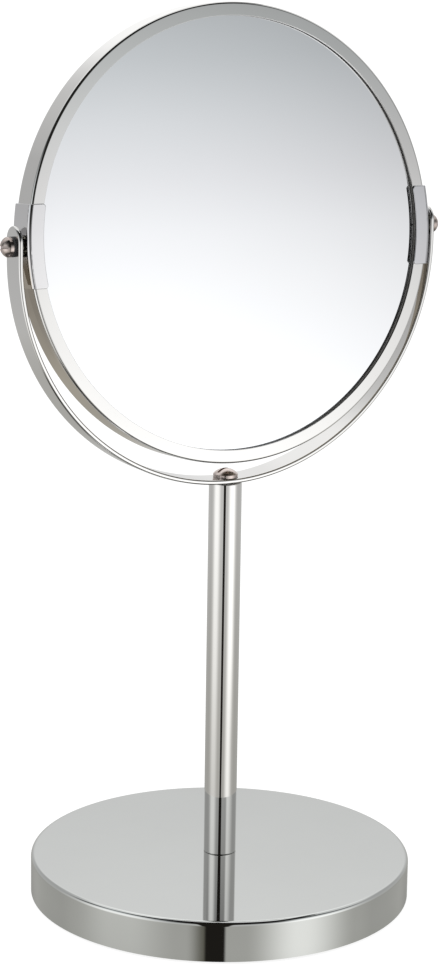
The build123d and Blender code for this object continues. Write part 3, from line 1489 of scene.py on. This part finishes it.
    def tent_cloth(self) -> bpy.types.Material:
        """Glowing cloth of the tent.

        Returns:
            The material.
        """
        material, board = new_material("tent_cloth")
        ahead = math.radians(self.facing)
        right = self.along(board, (math.cos(ahead), math.sin(ahead), 0.0))
        front = self.along(board, (math.sin(ahead), -math.cos(ahead), 0.0))
        measure = board.add("ShaderNodeMapRange")
        board.feed(measure.inputs["Value"], self.along(board, (0.0, 0.0, 1.0)))
        measure.inputs["From Min"].default_value = self.tent_foot
        measure.inputs["From Max"].default_value = self.tent_top
        height = measure.outputs["Result"]
        turn = board.sum("ARCTAN2", right, front)
        away = board.sum("ABSOLUTE", turn)
        aside = self.beyond(board, away, self.side_start, self.side_edge)
        behind = self.beyond(board, away, self.rear_start, self.rear_edge)
        fronts, sides, rears = (
            self.level(board, height, stops, self.brightest)
            for stops in (self.front_stops, self.side_stops, self.rear_stops)
        )
        cloth = board.blend("MIX", behind, board.blend("MIX", aside, fronts, sides), rears)
        low = self.cast(board, height, self.warm_heights, (self.warm, self.clear))
        cloth = board.blend("MULTIPLY", 1.0, cloth, low)
        for kind, lights in (("ADD", self.lights), ("SUBTRACT", self.shades)):
            for light in lights:
                glow = self.level(board, height, light.stops, self.brightest)
                cloth = board.blend(kind, self.band(board, turn, light), cloth, glow)
        high = self.cast(board, height, self.cool_heights, (self.clear, self.pale, self.cool))
        cloth = board.blend("MULTIPLY", board.sum("SUBTRACT", 1.0, aside), cloth, high)
        roofed = board.spread(height, *self.roof_zone)
        cloth = board.blend("MIX", roofed, cloth, self.roof(board, front, right))
        floored = board.spread(height, *self.foot_zone, 1.0, 0.0)
        cloth = board.blend("MIX", floored, cloth, self.foot(board, front, right))
        gap = self.level(board, height, self.gap_stops, HALF_CIRCLE)
        past = board.sum("SUBTRACT", board.sum("DIVIDE", away, math.pi), gap)
        soft = self.gap_edge / HALF_CIRCLE
        cloth = board.blend("MIX", board.spread(past, -soft, soft), (*self.gap_shade, 1.0), cloth)
        glow = board.add("ShaderNodeEmission")
        board.feed(glow.inputs["Color"], cloth)
        glow.inputs["Strength"].default_value = self.brightest
        board.show(glow.outputs["Emission"])
        return material

    def stage_piece(self, name: str, net: Net, material: bpy.types.Material) -> bpy.types.Object:
        """Put a mesh for the stage into the scene.

        Args:
            name: name of the stage piece.
            net: its mesh, which is used up.
            material: its material.

        Returns:
            The new object.
        """
        piece = new_object(name, net, material)
        return piece

    def tent(self) -> None:
        """Pitch the tent, which shows only in what the object mirrors."""
        net = bmesh.new()
        height = self.tent_top - self.tent_foot
        middle = Matrix.Translation((0.0, 0.0, self.tent_foot + height / 2.0))
        add_rod(net, self.tent_radius, height, middle, self.tent_steps)
        tent = self.stage_piece("light_tent", net, self.tent_cloth())
        tent.visible_camera = False
        tent.visible_diffuse = False
        tent.visible_transmission = False
        tent.visible_shadow = False

    def walls(self) -> None:
        """Make the world plain white."""
        world = bpy.data.worlds.new("studio_walls")
        world.use_nodes = True
        bpy.context.scene.world = world
        board = ShaderBoard(world.node_tree)
        plain = board.add("ShaderNodeBackground")
        plain.inputs["Color"].default_value = WHITE
        board.show(plain.outputs["Background"], "ShaderNodeOutputWorld")

    def floor_paint(self) -> bpy.types.Material:
        """Pale floor that can be seen through from below.

        Returns:
            The material.
        """
        material, board = new_material("pale_floor")
        shade = board.add("ShaderNodeBsdfPrincipled")
        shade.inputs["Base Color"].default_value = (*self.floor_shade, 1.0)
        shade.inputs["Roughness"].default_value = 1.0
        shade.inputs["Specular IOR Level"].default_value = 0.0
        shade.inputs["Emission Color"].default_value = WHITE
        shade.inputs["Emission Strength"].default_value = self.floor_glow
        clear = board.add("ShaderNodeBsdfTransparent")
        choice = board.add("ShaderNodeMixShader")
        board.feed(choice.inputs[0], board.add("ShaderNodeNewGeometry").outputs["Backfacing"])
        board.feed(choice.inputs[1], shade.outputs["BSDF"])
        board.feed(choice.inputs[2], clear.outputs["BSDF"])
        board.show(choice.outputs["Shader"])
        return material

    def floor(self) -> None:
        """Lay the floor just under the base."""
        net = bmesh.new()
        bmesh.ops.create_circle(net, cap_ends=True, radius=self.floor_radius, segments=self.floor_steps)
        floor = self.stage_piece("floor", net, self.floor_paint())
        floor.location = (0.0, 0.0, -self.floor_drop)
        floor.visible_glossy = False
        floor.visible_transmission = False

    def lamp(self) -> None:
        """Hang a broad lamp over the left of the camera."""
        light = bpy.data.lights.new("broad_lamp", "SUN")
        light.energy = self.lamp_energy
        light.angle = math.radians(self.lamp_spread)
        lamp = bpy.data.objects.new("broad_lamp", light)
        lamp.rotation_euler = (math.radians(self.lamp_tilt), 0.0, math.radians(self.lamp_turn))
        lamp.visible_glossy = False
        bpy.context.scene.collection.objects.link(lamp)

    def build(self) -> None:
        """Build the walls, the tent, the floor and the lamp."""
        self.walls()
        self.tent()
        self.floor()
        self.lamp()
        bpy.context.scene.view_settings.view_transform = "Standard"
        LOG.info("built the studio")


@dataclass
class PhotoCamera:
    """Camera at the photograph's angle."""

    azimuth: float = -30.439
    elevation: float = 7.078
    distance: float = 953.588 * MM
    aim_height: float = 260.336 * MM
    focal_pixels: float = 2531.12
    picture_height: float = 965.0
    sensor: float = 36.0
    pan: float = -0.122
    pitch: float = -5.581
    roll: float = 0.891
    clip: Point = (0.01, 100.0)

    def build(self) -> None:
        """Set the camera up and make it the scene's own."""
        az, el = math.radians(self.azimuth), math.radians(self.elevation)
        back = Vector((math.sin(az) * math.cos(el), -math.cos(az) * math.cos(el), math.sin(el)))
        look = -back
        right = look.cross(Vector((0.0, 0.0, 1.0))).normalized()
        upward = right.cross(look)
        pan, pitch, roll = (math.radians(angle) for angle in (self.pan, self.pitch, self.roll))
        look = look * math.cos(pan) + right * math.sin(pan)
        right = look.cross(upward)
        look = look * math.cos(pitch) + upward * math.sin(pitch)
        upward = right.cross(look)
        across = right * math.cos(roll) + upward * math.sin(roll)
        upward = upward * math.cos(roll) - right * math.sin(roll)
        data = bpy.data.cameras.new("photo_camera")
        data.sensor_width = self.sensor
        data.lens = self.focal_pixels / self.picture_height * self.sensor
        data.clip_start, data.clip_end = self.clip
        camera = bpy.data.objects.new("photo_camera", data)
        spot = Vector((0.0, 0.0, self.aim_height)) + back * self.distance
        turn = Matrix((across, upward, -look)).transposed().to_4x4()
        camera.matrix_world = Matrix.Translation(spot) @ turn
        bpy.context.scene.collection.objects.link(camera)
        bpy.context.scene.camera = camera
        LOG.info("set the camera")


def main() -> None:
    """Load the frame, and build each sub-assembly and the studio."""
    logging.basicConfig(level=logging.INFO, format="%(name)s: %(message)s")
    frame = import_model()
    nodes = frame["nodes"]
    PhotoCamera().build()
    for assembly in (BaseAssembly, StemAssembly, YokeAssembly, MirrorHead):
        assembly(nodes).build()
    for side in Side:
        PivotSet(nodes, side=side).build()
    Studio().build()


if __name__ == "__main__":
    main()
